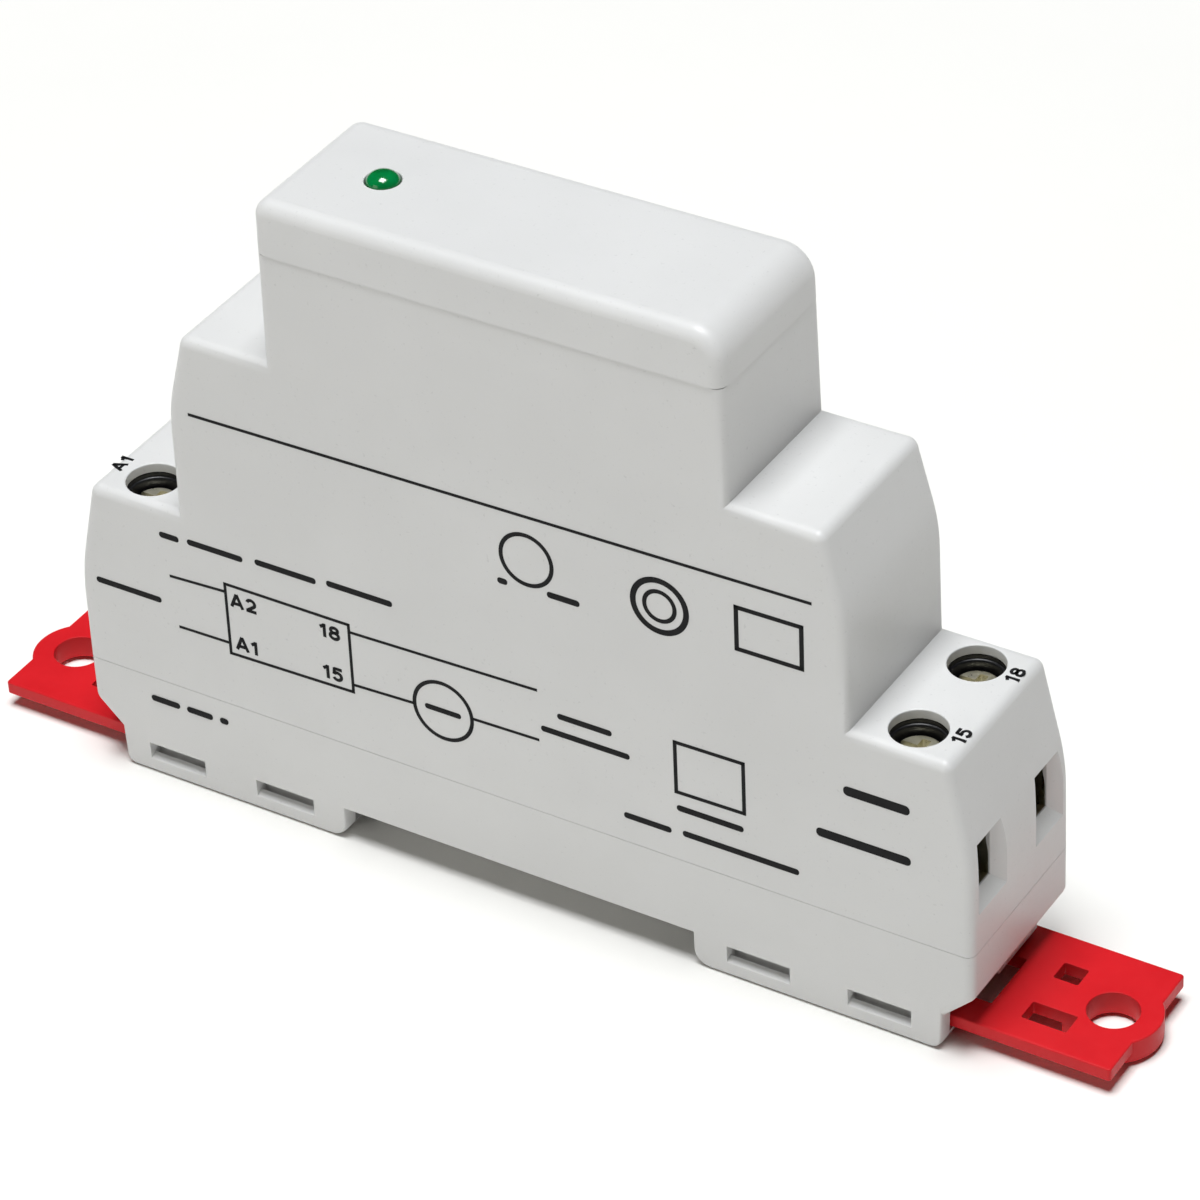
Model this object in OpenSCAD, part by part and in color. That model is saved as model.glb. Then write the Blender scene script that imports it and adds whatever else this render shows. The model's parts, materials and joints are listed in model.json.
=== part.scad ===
// Slim DIN-rail solid-state relay with pull-out slide clips. Millimetres, +Z up, feet on z = 0.

/* [Case] */
// Overall length of the case (mm)
case_l = 90; // [80:1:100]
// Width of the base (mm)
case_w = 17.5; // [15:0.5:22]
// Height of the parting line between base and shell (mm)
part_z = 11; // [8:0.5:14]
// Height of the terminal steps (mm)
step_z = 30.1; // [26:0.1:34]
// Height of the shoulders (mm)
shoulder_z = 48.8; // [44:0.1:54]
// Height of the seam under the lid (mm)
lid_z = 59.8; // [55:0.1:64]
// Height of the top of the lid (mm)
top_z = 64.8; // [60:0.1:70]
// Narrowing of each side face per mm of height (mm)
draft = 0.017; // [0:0.001:0.03]

/* [Rail] */
// Half the width of the rail notch (mm)
notch_h = 17.9; // [17.6:0.1:18.5]
// Height of the rail seat above the feet (mm)
seat_z = 3.3; // [2:0.1:5]

/* [Clips] */
// Thickness of the clip plate (mm)
clip_t = 1.3; // [1:0.1:2]
// Height of the underside of the clip plate (mm)
clip_z = 1.3; // [1:0.1:2]
// Outer end of a clip that is pulled out (mm)
clip_out = 56.9; // [52:0.1:60]
// Inner end of a clip that is pulled out (mm)
clip_in = 26.6; // [24:0.1:30]
// Radius of the fixing hole (mm)
clip_hole_r = 2.3; // [1.7:0.1:2.7]
// Distance of the fixing hole from the middle (mm)
clip_hole_x = 53.7; // [50:0.1:56]

/* [Terminals] */
// Distance of the screws from the middle, along the length (mm)
screw_x = 38.2; // [37:0.1:39]
// Distance of the screws from the middle, across the width (mm)
screw_y = 5; // [4.6:0.1:5.2]
// Height of the screw heads (mm)
head_z = 28; // [27:0.1:29]
// Radius of a screw head (mm)
head_r = 2; // [1.6:0.1:2.2]
// Radius of the access holes (mm)
access_r = 2.5; // [2.2:0.1:2.7]

/* [Lamp] */
// Position of the lamp along the length (mm)
lamp_x = -14.4; // [-18:0.1:18]
// Radius of the lamp (mm)
lamp_r = 1.5; // [1:0.1:2.5]

/* [Hidden] */
hl = case_l / 2;
hw = case_w / 2;
grey = [0.84, 0.85, 0.84];
red = [0.78, 0.12, 0.14];
black = [0.07, 0.07, 0.08];
steel = [0.72, 0.72, 0.70];

function arc(cx, cz, r, a0, a1, n = 4) =
  [for (i = [0:n]) [cx + r * cos(a0 + (a1 - a0) * i / n), cz + r * sin(a0 + (a1 - a0) * i / n)]];
function mir(p) = [for (i = [len(p) - 1:-1:0]) [-p[i][0], p[i][1]]];
function half_y(z) = hw - draft * max(0, z - part_z);

// A profile in the XZ plane, drawn along Y.
module across(pts, y0, y1) {
  translate([0, y1, 0]) rotate([90, 0, 0]) linear_extrude(y1 - y0) polygon(pts);
}
// A profile in the YZ plane, drawn along X.
module along(pts, x0, x1) {
  translate([x0, 0, 0]) rotate([90, 0, 90]) linear_extrude(x1 - x0) polygon(pts);
}
module box(x0, x1, y0, y1, z0, z1) {
  translate([x0, y0, z0]) cube([x1 - x0, y1 - y0, z1 - z0]);
}
module rod_y(x, z, r, y0, y1) {
  translate([x, y1, z]) rotate([90, 0, 0]) cylinder(r = r, h = y1 - y0, $fn = 32);
}
module rod_z(x, y, r, z0, z1) {
  translate([x, y, z0]) cylinder(r = r, h = z1 - z0, $fn = 40);
}
module both_ends() {
  children();
  rotate([0, 0, 180]) children();
}

// ---- base -------------------------------------------------------------------------------
base_right = concat([[notch_h, seat_z]], arc(notch_h + 1, 1, 1, 180, 270), arc(41.2, 0.8, 0.8, 270, 360),
  [[42.1, 3.5], [hl, 6.3], [hl, part_z]]);
base_cut_right = [[41.3, 4.9], [42.9, 6.7], [42.9, part_z + 2]];

module side_pocket(x0, x1) {
  along([[hw + 1, 1.4], [hw + 1, 3.1], [hw - 1, 3.1], [hw - 1, 2.2], [hw, 1.4]], x0, x1);
}
module base() color(grey) {
  difference() {
    union() {
      across(concat(base_right, mir(base_right)), -hw, hw);
      difference() {
        box(-43.6, 43.6, -7.6, 7.6, part_z - 0.1, part_z + 1.4);
        box(-42.9, 42.9, -6.9, 6.9, part_z - 0.2, part_z + 1.5);
      }
    }
    across(concat(base_cut_right, mir(base_cut_right)), -6.9, 6.9);
    both_ends() {
      box(notch_h - 1, hl, -7.25, 7.25, 1, 3.5);
      box(notch_h - 1, hl, -6.3, 6.3, -1, 1.1);
      for (s = [0, 1]) mirror([0, s, 0]) {
        side_pocket(21.3, 27.5);
        side_pocket(33.1, 39.2);
      }
    }
    box(-notch_h, notch_h, -7.25, 7.25, -1, seat_z);
  }
  both_ends() {
    for (s = [-1, 1]) box(20, 41, s * 4.6 - 0.5, s * 4.6 + 0.5, 2.9, 3.6);
    box(30.2, 31.6, -0.9, 0.9, 1.6, 3.6);
  }
  for (s = [0, 1]) mirror([s, 0, 0]) {
    box(21, 24, 0.9, 2.2, 4.8, 8);
    box(21, 24, 4.2, 5.5, 4.8, 8);
  }
}

// ---- upper shell ------------------------------------------------------------------------
shell_right = concat([[hl, part_z], [hl, 16.5], [hl - 0.1, 18.6], [hl - 0.35, 20.7], [hl - 0.8, 23.2]],
  arc(42.05, step_z - 0.8, 0.8, 12, 90), [[33.5, step_z], [33.45, 38.4], [33.3, 40.8], [32.95, 43.3],
  [32.3, 46]], arc(30.6, shoulder_z - 0.8, 0.8, 16, 90), [[22.5, shoulder_z], [22.35, lid_z]]);
pocket_right = [[32, part_z - 1], [43.8, part_z - 1], [43.8, 18.4], [43.35, 21.6],
  [41.75, step_z - 0.9], [32, step_z - 0.9]];

cavity_right = [[32.2, part_z - 1], [32.2, 39.6], [31.9, 41.6], [31.3, 44.2], [30.3, shoulder_z - 1.3]];

// Funnel-mouthed wire entry in the right end wall, centred on y.
module wire_entry(y) {
  box(43, 46, y - 1.4, y + 1.4, 16.2, 21);
  intersection() {
    across([[43.9, 16.2], [45.2, 14.5], [45.2, 22.5], [43.9, 21]], y - 3, y + 3);
    linear_extrude(30) polygon([[43.9, y - 1.4], [45.2, y - 2.7], [45.2, y + 2.7], [43.9, y + 1.4]]);
  }
}
module housing_body() color(grey) difference() {
  intersection() {
    across(concat(shell_right, mir(shell_right)), -hw, hw);
    along([[-hw, part_z], [hw, part_z], [half_y(lid_z), lid_z], [-half_y(lid_z), lid_z]], -hl, hl);
  }
  box(-43.8, 43.8, -7.75, 7.75, part_z - 1, part_z + 1.6);
  across(concat(cavity_right, mir(cavity_right)), -6.9, 6.9);
  box(-21.1, 21.1, -6.7, 6.7, shoulder_z - 2, lid_z + 1);
  both_ends() {
    across(pocket_right, -7.75, 7.75);
    for (s = [-1, 1]) {
      wire_entry(s * 5.05);
      rod_z(screw_x, s * screw_y, access_r, step_z - 2, step_z + 1);
    }
  }
}

// ---- lid and lamp -----------------------------------------------------------------------
module lid() color(grey) difference() {
  union() {
    intersection() {
      across(concat([[22.45, lid_z]], arc(19.3, top_z - 3, 3, 0, 90, 8), arc(-20.7, top_z - 1.5, 1.5, 90, 180, 6),
        [[-22.45, lid_z]]), -hw, hw);
      along(concat([[half_y(lid_z) + 0.12, lid_z]], arc(half_y(top_z) - 1.1, top_z - 1.2, 1.2, 0, 90, 6),
        arc(1.1 - half_y(top_z), top_z - 1.2, 1.2, 90, 180, 6), [[-half_y(lid_z) - 0.12, lid_z]]), -hl, hl);
    }
    box(-20.95, 20.95, -6.55, 6.55, lid_z - 1.9, lid_z + 0.1);
  }
  box(-19.9, 19.9, -5.6, 5.6, lid_z - 2, top_z - 1.3);
  rod_z(lamp_x, 0, lamp_r + 0.15, lid_z, top_z + 1);
}
module indicator_led() color([0.1, 0.55, 0.25]) {
  rod_z(lamp_x, 0, lamp_r, top_z - 4.2, top_z + 0.1);
  rod_z(lamp_x, 0, lamp_r + 0.4, top_z - 4.5, top_z - 3.5);
  intersection() {
    translate([lamp_x, 0, top_z - 0.72]) sphere(r = lamp_r + 0.02, $fn = 48);
    rod_z(lamp_x, 0, lamp_r, top_z, top_z + 3);
  }
}
module led_leads() color(steel) for (s = [-1, 1]) {
  x = lamp_x + s * 1.27;
  box(x - 0.25, x + 0.25, -0.25, 0.25, 53, top_z - 4.4);
  box(x - 0.25, x + 0.25, -0.25, 4.9, 52.5, 53);
}

// ---- slide clips ------------------------------------------------------------------------
module clip() difference() {
  union() {
    box(clip_in + 3, clip_out - 0.6, -6.95, 6.95, clip_z, clip_z + clip_t);
    box(clip_in, clip_out - 0.5, -6.95, 6.95, clip_z, clip_z + 0.8);
    box(clip_out - 0.7, clip_out, -6.35, 6.35, clip_z, clip_z + clip_t);
    for (s = [-1, 1]) rod_z(clip_out - 0.6, s * 6.35, 0.6, clip_z, clip_z + clip_t);
    rod_z(clip_hole_x, 0, 4.3, 0.35, clip_z + clip_t);
  }
  rod_z(clip_hole_x, 0, clip_hole_r, -1, 5);
  box(40.6, 44.3, -4, 2.4, 0, 5);
  box(29.9, 41, -1.2, 1.2, 0, 5);
  box(47.3, 51.5, -4.4, -2.15, 0, 5);
  box(47.3, 49.6, 1.45, 3.6, 0, 5);
  for (s = [-1, 1]) box(30.5, 38, s * 5.4 - 0.4, s * 5.4 + 0.4, 0, 5);
}
module clip_right() color(red) clip();
module clip_left() color(red) rotate([0, 0, 180]) clip();

// ---- terminals --------------------------------------------------------------------------
carrier_side = [[33.4, 13], [43.5, 13], [43.5, 18.4], [43.05, 21.4], [41.5, step_z - 1], [33.4, step_z - 1]];
module carrier() difference() {
  across(carrier_side, -7.6, 7.6);
  for (s = [-1, 1]) {
    box(35.5, 41, s * screw_y - 2.2, s * screw_y + 2.2, 15.9, 26.45);
    rod_z(screw_x, s * screw_y, head_r + 0.35, 20, 31);
    box(40, 45, s * 5.05 - 1.4, s * 5.05 + 1.4, 16.4, 20.9);
    box(32, 42.7, s * screw_y - 1.05, s * screw_y + 1.05, 20.7, 21.7);
  }
}
module terminal_carrier_right() color(black) carrier();
module terminal_carrier_left() color(black) rotate([0, 0, 180]) carrier();

module screw_at(x, y) color(steel) difference() {
  union() {
    rod_z(x, y, head_r, head_z - 1.5, head_z);
    rod_z(x, y, 1.2, 21.65, head_z - 1.4);
  }
  box(x - 3, x + 3, y - 0.4, y + 0.4, head_z - 0.8, head_z + 1);
  box(x - 0.4, x + 0.4, y - 1.4, y + 1.4, head_z - 0.8, head_z + 1);
}
module cage_at(x, y) color([0.80, 0.78, 0.70]) difference() {
  box(x - 2.2, x + 2.2, y - 1.9, y + 1.9, 16.2, 23.2);
  box(x - 3, x + 3, y - 1.4, y + 1.4, 17.2, 21.7);
  rod_z(x, y, 1.25, 21, 24);
}
// Contact bar: through the cage, out of the carrier and across to the board.
module bar_front() {
  box(26, 42.6, -5.95, -4.05, 20.8, 21.6);
  box(26, 27.8, -4.1, 5, 20.8, 21.6);
}
module bar_back() {
  box(33, 42.6, 4.05, 5.95, 20.8, 21.6);
  box(29.2, 33.1, 4.5, 5.95, 20.8, 21.6);
  box(29.2, 31, 1.4, 4.6, 20.8, 21.6);
}
module terminal_screw_1() screw_at(-screw_x, -screw_y);
module terminal_screw_2() screw_at(-screw_x, screw_y);
module terminal_screw_3() screw_at(screw_x, -screw_y);
module terminal_screw_4() screw_at(screw_x, screw_y);
module clamp_cage_1() cage_at(-screw_x, -screw_y);
module clamp_cage_2() cage_at(-screw_x, screw_y);
module clamp_cage_3() cage_at(screw_x, -screw_y);
module clamp_cage_4() cage_at(screw_x, screw_y);
module terminal_bar_1() color([0.78, 0.66, 0.42]) mirror([1, 0, 0]) bar_front();
module terminal_bar_2() color([0.78, 0.66, 0.42]) mirror([1, 0, 0]) bar_back();
module terminal_bar_3() color([0.78, 0.66, 0.42]) bar_front();
module terminal_bar_4() color([0.78, 0.66, 0.42]) bar_back();

// ---- electronics ------------------------------------------------------------------------
module circuit_board() color([0.13, 0.42, 0.25]) difference() {
  union() {
    box(-31.4, 31.4, 2.4, 4, 5.2, 41);
    box(-29.5, 29.5, 2.4, 4, 40.9, 46.5);
    box(-20, 20, 2.4, 4, 46.4, 57);
  }
  for (x = [-28, 28], z = [10, 42]) rod_y(x, z, 1, 2, 5);
}
module heat_spreader() color([0.75, 0.76, 0.77]) difference() {
  box(-15, 15, -6.5, -5, 14, 46);
  rod_y(0, 38, 1.7, -7, -4);
}
module thermal_pad() color([0.85, 0.85, 0.92]) difference() {
  box(-6, 6, -5, -4.8, 22, 42);
  rod_y(0, 38, 1.7, -7, -4);
}
module power_switch() color(black) {
  difference() {
    box(-5.1, 5.1, -4.8, -3.5, 25, 41);
    rod_y(0, 38, 1.7, -7, 0);
  }
  box(-5.1, 5.1, -3.6, -0.3, 25, 34.2);
}
module switch_leads() color(steel) for (x = [-2.54, 0, 2.54]) {
  box(x - 0.4, x + 0.4, -2.5, -2, 20, 25.1);
  box(x - 0.4, x + 0.4, -2.5, 5.2, 19.5, 20);
}
module switch_rivet() color(steel) {
  rod_y(0, 38, 1.6, -6.6, -3.4);
  rod_y(0, 38, 3, -3.5, -2.5);
}
module optocoupler() color([0.92, 0.92, 0.90]) box(-28, -19.2, -1.6, 1.9, 24.5, 31);
module optocoupler_pins() color(steel) for (x = [-26.1, -23.6, -21.1], s = [-1, 1]) {
  z = 27.75 + s * 3.8;
  box(x - 0.25, x + 0.25, 0, 5, z - 0.15, z + 0.15);
  box(x - 0.5, x + 0.5, 0, 0.3, min(z, 27.75 + s * 3.1), max(z, 27.75 + s * 3.1));
}
module varistor() color([0.10, 0.28, 0.62]) {
  rod_y(24, 38, 5.2, -2.6, 1.4);
  for (s = [-1, 1]) box(24 + s * 2.5 - 0.3, 24 + s * 2.5 + 0.3, 1.3, 5, 37.7, 38.3);
}
module snubber_capacitor() color([0.80, 0.62, 0.18]) {
  box(-30, -17, -4.2, 2.1, 34, 45);
  for (x = [-28.5, -18.5]) box(x - 0.3, x + 0.3, 2, 5, 39.2, 39.8);
}
module axial(x, z, r, l) {
  translate([x - l / 2, 0.8, z]) rotate([0, 90, 0]) cylinder(r = r, h = l, $fn = 32);
  for (s = [-1, 1]) {
    box(x + s * (l / 2 + 1.2) - (s > 0 ? 1.5 : 0.3), x + s * (l / 2 + 1.2) + (s > 0 ? 0.3 : 1.5),
      0.5, 1.1, z - 0.3, z + 0.3);
    box(x + s * (l / 2 + 1.2) - 0.3, x + s * (l / 2 + 1.2) + 0.3, 0.5, 5, z - 0.3, z + 0.3);
  }
}
module resistors() color([0.85, 0.78, 0.62]) {
  axial(19.5, 26, 1.2, 6.4);
  axial(19.5, 30, 1.2, 6.4);
  axial(-9, 10, 1.2, 6.4);
  axial(-10, 50, 1.2, 6.4);
}
module diodes() color([0.15, 0.14, 0.14]) {
  axial(10, 10, 1.3, 5);
  axial(21, 10, 1.3, 5);
}

base();
housing_body();
lid();
indicator_led();
led_leads();
clip_left();
clip_right();
terminal_carrier_left();
terminal_carrier_right();
terminal_screw_1();
terminal_screw_2();
terminal_screw_3();
terminal_screw_4();
clamp_cage_1();
clamp_cage_2();
clamp_cage_3();
clamp_cage_4();
terminal_bar_1();
terminal_bar_2();
terminal_bar_3();
terminal_bar_4();
circuit_board();
heat_spreader();
thermal_pad();
power_switch();
switch_leads();
switch_rivet();
optocoupler();
optocoupler_pins();
varistor();
snubber_capacitor();
resistors();
diodes();
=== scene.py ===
"""Looks of a slim rail-mounted relay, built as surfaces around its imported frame.

Sizes are in millimetres until a mesh is made. +X runs along the case, +Z up to the lamp.
"""

from __future__ import annotations

import json
import logging
import math
from dataclasses import dataclass, field
from enum import Enum
from typing import Callable, Sequence

import bmesh
import bpy
import numpy as np
from mathutils import Matrix

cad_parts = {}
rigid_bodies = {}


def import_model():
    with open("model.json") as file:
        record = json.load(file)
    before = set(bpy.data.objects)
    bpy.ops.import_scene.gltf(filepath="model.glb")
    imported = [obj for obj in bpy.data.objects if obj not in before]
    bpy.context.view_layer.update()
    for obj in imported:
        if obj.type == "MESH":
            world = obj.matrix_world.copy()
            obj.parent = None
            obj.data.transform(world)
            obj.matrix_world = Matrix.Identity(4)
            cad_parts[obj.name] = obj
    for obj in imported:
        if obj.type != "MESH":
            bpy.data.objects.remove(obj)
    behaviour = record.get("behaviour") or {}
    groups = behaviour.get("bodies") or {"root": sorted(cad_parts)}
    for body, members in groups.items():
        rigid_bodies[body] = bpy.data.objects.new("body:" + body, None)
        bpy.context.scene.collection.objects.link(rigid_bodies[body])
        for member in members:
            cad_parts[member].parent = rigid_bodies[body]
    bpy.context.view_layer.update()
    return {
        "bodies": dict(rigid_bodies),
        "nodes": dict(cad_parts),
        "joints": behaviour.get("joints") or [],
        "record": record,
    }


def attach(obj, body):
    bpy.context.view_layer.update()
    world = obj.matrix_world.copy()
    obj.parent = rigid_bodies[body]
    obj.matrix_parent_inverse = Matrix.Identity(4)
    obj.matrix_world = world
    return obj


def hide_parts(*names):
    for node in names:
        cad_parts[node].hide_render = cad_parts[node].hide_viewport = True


LOG = logging.getLogger("relay")
MM = 0.001
ENDS = (1, -1)
SIDES = (-1, 1)
SHARP = math.radians(32)
TERMINAL_X = 38.2
TERMINAL_Y = 5.0
ENTRY_Y = 5.05

Path = np.ndarray
Law = Callable[[np.ndarray], np.ndarray]
Wave = Callable[[np.ndarray, np.ndarray], np.ndarray]
Tree = bpy.types.NodeTree
Socket = bpy.types.NodeSocket


# ---- surfaces ---------------------------------------------------------------------------


class Axis(Enum):
    """Direction in which an outline is carried, as the order of (first, second, carried)."""

    X = (2, 0, 1)
    Y = (0, 2, 1)
    Z = (0, 1, 2)


class Joining(Enum):
    """How one solid is worked into another."""

    CUT = "DIFFERENCE"
    ADD = "UNION"


@dataclass
class Solid:
    """A closed surface: its points, one row each, and its faces as runs of point numbers."""

    points: np.ndarray
    faces: list

    def turned(self, sign: int) -> "Solid":
        """The solid as it is for +1, or turned half way round the Z axis for -1."""
        return Solid(self.points * np.array((sign, sign, 1.0)), self.faces)

    def moved(self, shift: Sequence[float]) -> "Solid":
        """The solid moved by a shift."""
        return Solid(self.points + np.asarray(shift, dtype=float), self.faces)

    def plus(self, *others: "Solid") -> "Solid":
        """Gathers solids into one set of separate closed shells.

        Args:
            *others: the solids that join this one.

        Returns:
            All of them as one solid.
        """
        points, faces, count = [self.points], list(self.faces), len(self.points)
        for other in others:
            faces += [tuple(np.asarray(f) + count) for f in other.faces]
            points.append(other.points)
            count += len(other.points)
        return Solid(np.concatenate(points), faces)


def eased(corners: Sequence[Sequence[float]], steps: int = 6) -> Path:
    """Rounds the corners of a closed outline.

    An arc of radius r touches both edges of a corner at r / tan(half the corner's angle) from it,
    and its centre lies at r / sin(half the angle) along the line that halves the angle.

    Args:
        corners: (first, second, radius) of each corner, anticlockwise.
        steps: pieces in each arc.

    Returns:
        The outline, one point in each row.
    """
    data = np.asarray(corners, dtype=float)
    spot, radius = data[:, :2], data[:, 2:3]
    back, on = np.roll(spot, 1, axis=0) - spot, np.roll(spot, -1, axis=0) - spot
    back /= np.linalg.norm(back, axis=1, keepdims=True)
    on /= np.linalg.norm(on, axis=1, keepdims=True)
    half = np.arccos(np.clip((back * on).sum(axis=1, keepdims=True), -1, 1)) / 2
    middle = back + on
    middle /= np.maximum(np.linalg.norm(middle, axis=1, keepdims=True), 1e-9)
    reach = radius / np.tan(half)
    centre = spot + middle * radius / np.sin(half)
    first, last = spot + back * reach - centre, spot + on * reach - centre
    start = np.arctan2(first[:, 1], first[:, 0])
    sweep = (np.arctan2(last[:, 1], last[:, 0]) - start + math.pi) % (2 * math.pi) - math.pi
    angle = start[:, None] + sweep[:, None] * np.linspace(0, 1, steps + 1)
    ring = centre[:, None] + radius[:, None] * np.stack((np.cos(angle), np.sin(angle)), axis=-1)
    path = ring.reshape(-1, 2)
    kept = np.linalg.norm(path - np.roll(path, 1, axis=0), axis=1) > 1e-5
    return path[kept]


def mirrored(corners: Sequence[Sequence[float]]) -> list:
    """Corners of the right half followed by the same corners on the left, in order."""
    return list(corners) + [(-c[0], *c[1:]) for c in reversed(corners)]


def rectangle(x0: float, x1: float, y0: float, y1: float, radius: float = 0.0) -> Path:
    """Outline of a rectangle with rounded corners."""
    return eased([(x0, y0, radius), (x1, y0, radius), (x1, y1, radius), (x0, y1, radius)], 4)


def circle(x: float, y: float, radius: float, count: int = 48) -> Path:
    """Outline of a circle: (x + r cos a, y + r sin a)."""
    angle = np.linspace(0, 2 * math.pi, count, endpoint=False)
    return np.column_stack((x + radius * np.cos(angle), y + radius * np.sin(angle)))


def corner_shift(path: Path, share: np.ndarray) -> np.ndarray:
    """Shift of each corner when edge i of a closed outline moves out by share[i].

    The shift m solves n0 . m = s0 and n1 . m = s1 for the outward normals n and the shares s of
    the two edges that meet there; on a straight run it is the mean of s0 n0 and s1 n1.

    Args:
        path: the outline, anticlockwise.
        share: how far each edge moves.

    Returns:
        One shift for each corner.
    """
    edge = np.roll(path, -1, axis=0) - path
    after = np.column_stack((edge[:, 1], -edge[:, 0])) / np.linalg.norm(edge, axis=1, keepdims=True)
    before, s1, s0 = np.roll(after, 1, axis=0), share, np.roll(share, 1)
    det = before[:, 0] * after[:, 1] - before[:, 1] * after[:, 0]
    straight = np.abs(det) < 1e-3
    safe = np.where(straight, 1.0, det)
    solved = np.column_stack((s0 * after[:, 1] - s1 * before[:, 1], s1 * before[:, 0] - s0 * after[:, 0]))
    mean = (before * s0[:, None] + after * s1[:, None]) / 2
    return np.where(straight[:, None], mean, solved / safe[:, None])


def carried(
    path: Path,
    insets: np.ndarray,
    rise: np.ndarray | Law,
    axis: Axis,
    share: np.ndarray | None = None,
) -> Solid:
    """A solid whose ring j is the outline moved in by insets[j] and laid at rise[j].

    Point (j, i) = path_i - insets_j * shift_i, carried to rise_j along the axis.

    Args:
        path: closed outline, anticlockwise.
        insets: how far each ring moves in; a negative one moves out.
        rise: place of each ring along the axis, or a function of all the rings' points.
        axis: the direction that rise is measured in.
        share: how much each edge takes of an inset; 1 everywhere if left out.

    Returns:
        The solid, closed by a flat face at each end.
    """
    share = np.ones(len(path)) if share is None else share
    rings = path[None] - insets[:, None, None] * corner_shift(path, share)[None]
    lift = rise(rings) if callable(rise) else np.broadcast_to(rise[:, None], rings.shape[:2])
    points = np.concatenate((rings, lift[..., None]), axis=2).reshape(-1, 3)[:, list(axis.value)]
    rows, count = len(insets), len(path)
    ends = [tuple(range(count))[::-1], tuple(range((rows - 1) * count, rows * count))]
    return Solid(points, ring_faces(rows, count) + ends)


def ring_faces(rows: int, count: int, joined: bool = False) -> list:
    """Four-cornered faces between neighbouring rings of a grid of points.

    Args:
        rows: number of rings.
        count: points in each ring.
        joined: whether the last ring joins the first.

    Returns:
        The faces as runs of point numbers.
    """
    grid = np.arange(rows * count).reshape(rows, count)
    upper = np.roll(grid, -1, axis=0) if joined else grid[1:]
    lower = grid if joined else grid[:-1]
    quads = np.stack((lower, np.roll(lower, -1, axis=1), np.roll(upper, -1, axis=1), upper), axis=-1)
    return [tuple(q) for q in quads.reshape(-1, 4).tolist()]


def edge_rows(radius: float, ledge: float = 0.0, steps: int = 5) -> tuple[np.ndarray, np.ndarray]:
    """Rows that round an edge: inset r (1 - cos a) at depth r (1 - sin a), for a from 90 to 0 degrees.

    Args:
        radius: radius of the edge.
        ledge: width of a flat strip kept on both sides of it.
        steps: pieces in the arc.

    Returns:
        The insets and the depths, from the end face inwards.
    """
    angle = np.linspace(math.pi / 2, 0, steps + 1)
    inset, depth = radius * (1 - np.cos(angle)), radius * (1 - np.sin(angle))
    if ledge:
        inset = np.concatenate(([radius + ledge], inset, [0.0]))
        depth = np.concatenate(([0.0], depth, [radius + ledge]))
    return inset, depth


def block(path: Path, low: float, high: float, axis: Axis, radius: float = 0.0, steps: int = 3) -> Solid:
    """An outline carried in a straight line, with both rims rounded.

    Args:
        path: the outline, anticlockwise.
        low: where it starts.
        high: where it ends.
        axis: the direction that it is carried in.
        radius: radius of the rims.
        steps: pieces in each rim's arc.

    Returns:
        The solid.
    """
    if not radius:
        return carried(path, np.zeros(2), np.array((low, high)), axis)
    inset, depth = edge_rows(radius, steps=steps)
    insets = np.concatenate((inset, inset[::-1]))
    rise = np.concatenate((low + depth, (high - depth)[::-1]))
    return carried(path, insets, rise, axis)


def box(x0: float, x1: float, y0: float, y1: float, z0: float, z1: float) -> Solid:
    """A plain cutter between two corners."""
    return block(rectangle(x0, x1, y0, y1), z0, z1, Axis.Z)


def mouth(path: Path, inner: float, face: float, beyond: float, flare: float) -> Solid:
    """An upright cutter that opens out in a quarter circle where it meets a face from below.

    Inset -f (1 - cos a) lies f (1 - sin a) below the face, for a from 0 to 90 degrees.

    Args:
        path: outline of the hole.
        inner: where the cutter starts.
        face: height of the face.
        beyond: where it ends, above the face.
        flare: radius f of the quarter circle.

    Returns:
        The cutter.
    """
    angle = np.linspace(0, math.pi / 2, 5)
    insets = np.concatenate(([0.0], -flare * (1 - np.cos(angle)), [-flare]))
    rise = np.concatenate(([inner], face - flare * (1 - np.sin(angle)), [beyond]))
    return carried(path, insets, rise, Axis.Z)


def both_mouths(path: Path, low: float, high: float, flare: float) -> Solid:
    """An upright cutter through a plate that opens out at both faces, as a mouth does.

    Args:
        path: outline of the hole.
        low: height of the plate's underside.
        high: height of its top.
        flare: radius of the quarter circles.

    Returns:
        The cutter.
    """
    inset, depth = edge_rows(flare, steps=3)
    insets = np.concatenate(([-flare], -inset, -inset[::-1], [-flare]))
    rise = np.concatenate(([low - 1], low + depth, (high - depth)[::-1], [high + 1]))
    return carried(path, insets, rise, Axis.Z)


def lathe(profile: Sequence[Sequence[float]], count: int = 48, wave: Wave | None = None) -> Solid:
    """A profile of (radius, height) turned round the Z axis, closed by a point at each end.

    Args:
        profile: points from the lower end to the upper, all off the axis.
        count: points in each ring.
        wave: extra radius at each (angle, height), as for a thread.

    Returns:
        The solid.
    """
    data = np.asarray(profile, dtype=float)
    angle = np.linspace(0, 2 * math.pi, count, endpoint=False)
    radius = np.repeat(data[:, :1], count, axis=1)
    height = np.repeat(data[:, 1:], count, axis=1)
    if wave is not None:
        radius = radius + wave(np.broadcast_to(angle, radius.shape), height)
    grid = np.stack((radius * np.cos(angle), radius * np.sin(angle), height), axis=-1).reshape(-1, 3)
    rows, total = len(data), len(data) * count
    poles = np.array(((0, 0, data[0, 1]), (0, 0, data[-1, 1])))
    first, last = np.arange(count), np.arange(total - count, total)
    low = np.stack((np.roll(first, -1), first, np.full(count, total)), axis=-1)
    high = np.stack((last, np.roll(last, -1), np.full(count, total + 1)), axis=-1)
    caps = [tuple(t) for t in np.concatenate((low, high)).tolist()]
    return Solid(np.concatenate((grid, poles)), ring_faces(rows, count) + caps)


# ---- meshes -----------------------------------------------------------------------------

Work = Sequence[tuple[Joining, Solid]]


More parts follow.
